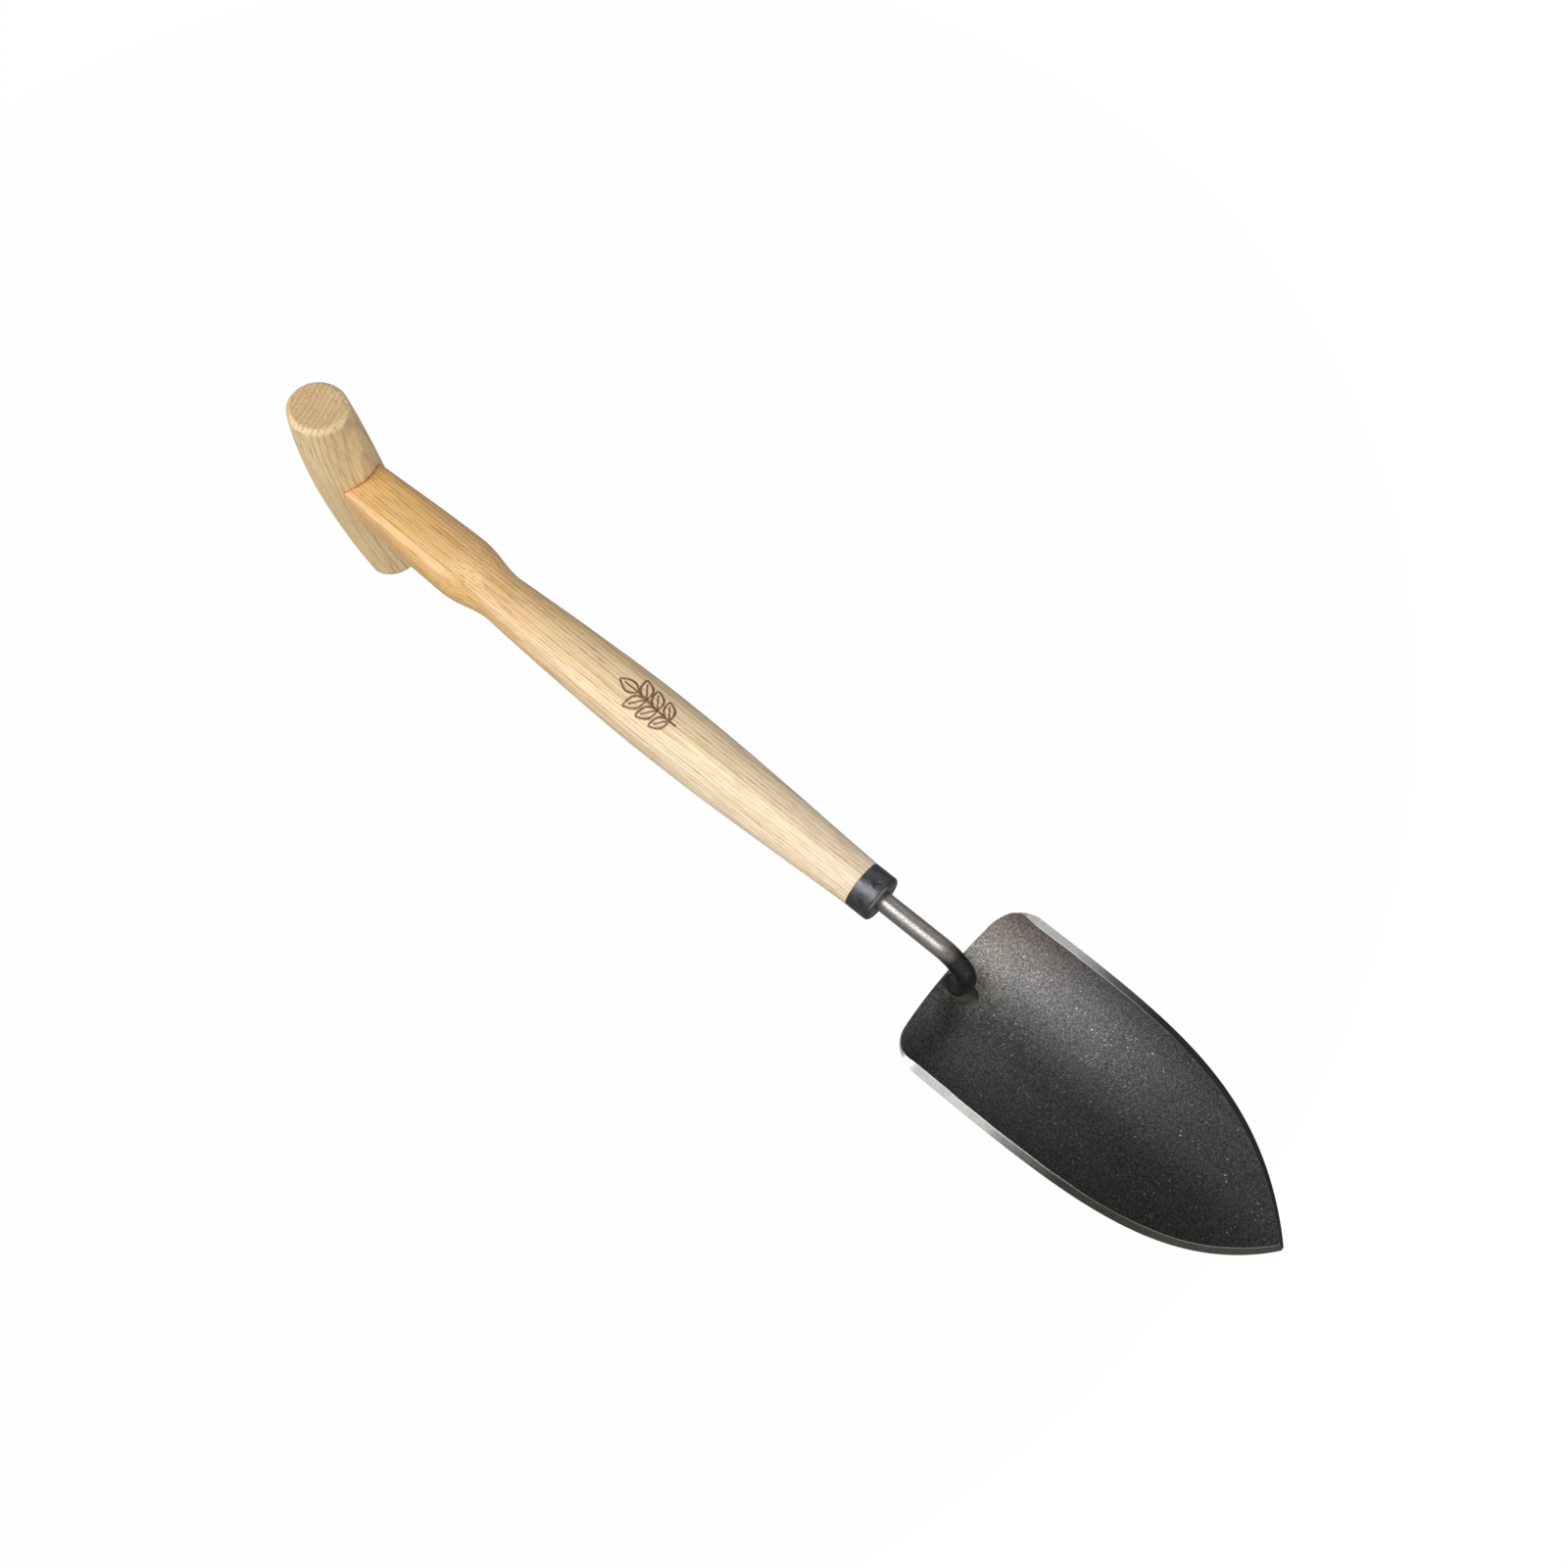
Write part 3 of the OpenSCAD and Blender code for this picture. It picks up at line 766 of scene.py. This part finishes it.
def shaft_ash():
    parts = ash("shaft_ash", (0.99, 0.83, 0.585), (0.96, 0.755, 0.475), (0.60, 0.36, 0.16),
                ring_mm=1.5, ring_depth=0.5, pith=(-0.085, -0.030, 0.006), straight=0.0022, pore_strength=0.6)
    n, base = parts[0], parts[1]
    along = n.split(n.attribute("grain"))[0]
    base = n.mix(n.range(along, 0.219, 0.025), base, n.tint(base, (0.89, 0.68, 0.385)))
    # paler cream towards the front: partly the ash's own tone, partly a painted lacquer highlight
    base = n.mix(n.range(along, 0.17, 0.29, 0.0, 0.18), base, (1.0, 0.90, 0.72))
    burn = n.attribute("burn", "Fac")
    char = n.range(n.noise(n.position(), 900, 2.0, 0.5), 0.25, 0.6, 0.8, 1.0)
    patchy = n.math("MULTIPLY", burn, char, True)
    cloud = n.range(n.noise(n.position(), 500, 2.0, 0.5), 0.3, 0.7)
    burnt = n.mix(cloud, (0.085, 0.026, 0.009), (0.20, 0.072, 0.026))
    edge = n.times(n.attribute("saddle", "Fac"), n.range(parts[3], 0.3, 0.6, 0.6, 1.0))
    base = n.mix(edge, base, n.tint(base, (0.84, 0.68, 0.48)))
    return wood_shader(parts, 0.6, 0.10, n.mix(patchy, base, burnt), n.times(patchy, 0.8))


def cross_r(u):
    return CROSS_MID_R - (CROSS_MID_R - CROSS_END_R) * u * u


def make_crosspiece():
    sides = 128
    low, high = -CROSS_DOWN / BEND_R, CROSS_UP / BEND_R
    c = CROSS_CHAMFER / BEND_R
    flat_r = CROSS_END_R - CROSS_CHAMFER
    rings = [(low, flat_r * f) for f in (0.02, 0.3, 0.6, 0.85)]

    def chamfer(end, inward):
        out = []
        for t in np.linspace(0, 1, 9):
            soft = 0.245 * math.sin(math.pi * t)
            out.append((end + inward * c * t, CROSS_END_R - CROSS_CHAMFER * (1 - t) + soft))
        return out

    rings += chamfer(low, 1)
    span = np.linspace(low + c, high - c, 90)[1:-1]
    for a in span:
        u = a / (low + c) if a < 0 else a / (high - c)
        rings.append((a, cross_r(u)))
    rings += list(reversed(chamfer(high, -1)))
    rings += [(high, flat_r * f) for f in (0.85, 0.6, 0.3, 0.02)]
    points, grain, cut = [], [], []
    for a, r in rings:
        cut += [1.0 if r < flat_r + 0.1 else 0.0] * sides
        for i in range(sides):
            q = 2 * math.pi * i / sides
            rr = r + 0.07 * wobble(400 * a, 3 * math.cos(q), 3 * math.sin(q), 9.0) * min(1.0, r / CROSS_END_R)
            reach = BEND_R - rr * math.cos(q)
            points.append((BEND_R - CROSS_AT - reach * math.cos(a), rr * math.sin(q), reach * math.sin(a)))
            grain.append((a * BEND_R * MM + 0.1, rr * math.sin(q) * MM, rr * math.cos(q) * MM))
    faces = tube_faces(len(rings), sides)
    last = (len(rings) - 1) * sides
    faces += [tuple(reversed(range(sides))), tuple(range(last, last + sides))]
    obj = piece("crosspiece_wood", points, faces, [cross_ash()], "crosspiece", None, 30.0)
    vector_attribute(obj, "grain", grain)
    float_attribute(obj, "cut", cut)


def cross_ash():
    parts = ash("crosspiece_ash", (0.93, 0.71, 0.405), (0.87, 0.64, 0.345), (0.52, 0.33, 0.15),
                ring_mm=2.2, ring_depth=0.38, pith=(-0.03, -0.08, 0.010), straight=0.003, pore_strength=0.25)
    n, base = parts[0], parts[1]
    cut = n.tint(base, (0.84, 0.79, 0.74))
    return wood_shader(parts, 0.3, 0.25, n.mix(n.attribute("cut", "Fac"), base, cut))


def dowel_beech():
    n = Nodes("dowel_beech")
    p = n.position()
    fleck = n.noise(n.mapped(p, (300, 2200, 2200)), 1, 2.0, 0.5)
    colour = n.ramp(fleck, [(0.35, (0.58, 0.38, 0.22)), (0.7, (0.72, 0.52, 0.33))])
    return n.finish(Base_Color=colour, Roughness=0.6, Normal=n.bump(fleck, 0.2, 0.0001))


# ---------------------------------------------------------------- floor and light

def make_floor():
    """White floor that the tip of the blade and the lower end of the crosspiece rest on, curved up far away.

    It glows evenly and stays out of the steel's reflections, as a paper sweep lit from behind does.
    """
    heel = (-CROSS_AT + 8.0, -AXIS_Z)
    tip = (TIP_X, hollow_z(TIP_X, 0, HOLLOW_R + THICK))
    slope = math.atan2(tip[1] - heel[1], tip[0] - heel[0])
    n = Nodes("floor_paper")
    fine = n.noise(n.position(), 3, 2.0, 0.5)
    colour = n.ramp(fine, [(0.3, (0.988, 0.988, 0.988)), (0.7, (0.992, 0.992, 0.992))])
    n.finish(Base_Color=(0.02, 0.02, 0.02), Roughness=1.0, Specular_IOR_Level=0.0,
             Emission_Color=colour, Emission_Strength=1.0)
    sides = 96
    outline = [(0.5, 0.0), (2.0, 0.0), (4.0, 0.0)]
    outline += [(4.0 + 2.0 * math.sin(a), 2.0 - 2.0 * math.cos(a))
                for a in np.linspace(0, math.pi / 2, 12)[1:]]
    outline += [(6.0, 9.0)]
    points = []
    for r, h in outline:
        for i in range(sides):
            q = 2 * math.pi * i / sides
            points.append((r * math.cos(q), r * math.sin(q), h))
    faces = tube_faces(len(outline), sides) + [tuple(reversed(range(sides)))]
    mesh = bpy.data.meshes.new("floor")
    mesh.from_pydata(points, [], turned(faces))
    mesh.materials.append(n.material)
    mesh.shade_smooth()
    obj = bpy.data.objects.new("floor", mesh)
    bpy.context.scene.collection.objects.link(obj)
    obj.location = ((heel[0] + FRONT) * MM, 0, (heel[1] + AXIS_Z) * MM - 0.0004)
    obj.rotation_euler = (0, -slope, 0)
    obj.visible_glossy = False
    obj.visible_diffuse = False
    obj.visible_shadow = False


def softbox(name, middle, away, distance, size, watts):
    light = bpy.data.lights.new(name, "AREA")
    light.shape = "RECTANGLE"
    light.size = light.size_y = size
    light.energy = watts
    obj = bpy.data.objects.new(name, light)
    bpy.context.scene.collection.objects.link(obj)
    obj.visible_camera = False
    place = Vector(middle) + away * distance
    obj.matrix_world = Matrix.Translation(place) @ away.to_track_quat("Z", "Y").to_matrix().to_4x4()


def make_light():
    """One soft lamp and a key above the handle's left side, and weaker soft boxes low down all round."""
    boxes = (("lamp", 226, 71, 0.28, 2.2), ("key", 255, 60, 0.62, 3.05), ("top", 20, 80, 0.36, 0.5),
             ("side", 242, 35, 0.62, 1.7), ("front", 0, 20, 1.7, 9.5), ("left", 228, 12, 0.62, 4.6),
             ("corner", 315, 12, 0.9, 3.0), ("right", 120, 35, 0.9, 1.5))
    for name, azimuth, elevation, size, watts in boxes:
        a, e = math.radians(azimuth), math.radians(elevation)
        away = Vector((math.cos(a) * math.cos(e), math.sin(a) * math.cos(e), math.sin(e)))
        softbox(name, (0.0, 0.0, 0.06), away, 1.25, size, watts)
    world = bpy.data.worlds.new("studio")
    world.use_nodes = True
    background = world.node_tree.nodes["Background"]
    background.inputs["Color"].default_value = (1.0, 1.0, 1.0, 1.0)
    background.inputs["Strength"].default_value = 0.25
    bpy.context.scene.world = world
    bpy.context.scene.view_settings.view_transform = "Standard"


make_camera()
make_blade()
make_tang()
make_weld()
make_ferrule()
make_nail()
make_shaft()
make_crosspiece()
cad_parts["joint_dowel"].data.materials.clear()
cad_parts["joint_dowel"].data.materials.append(dowel_beech())
make_floor()
make_light()
bpy.context.view_layer.update()
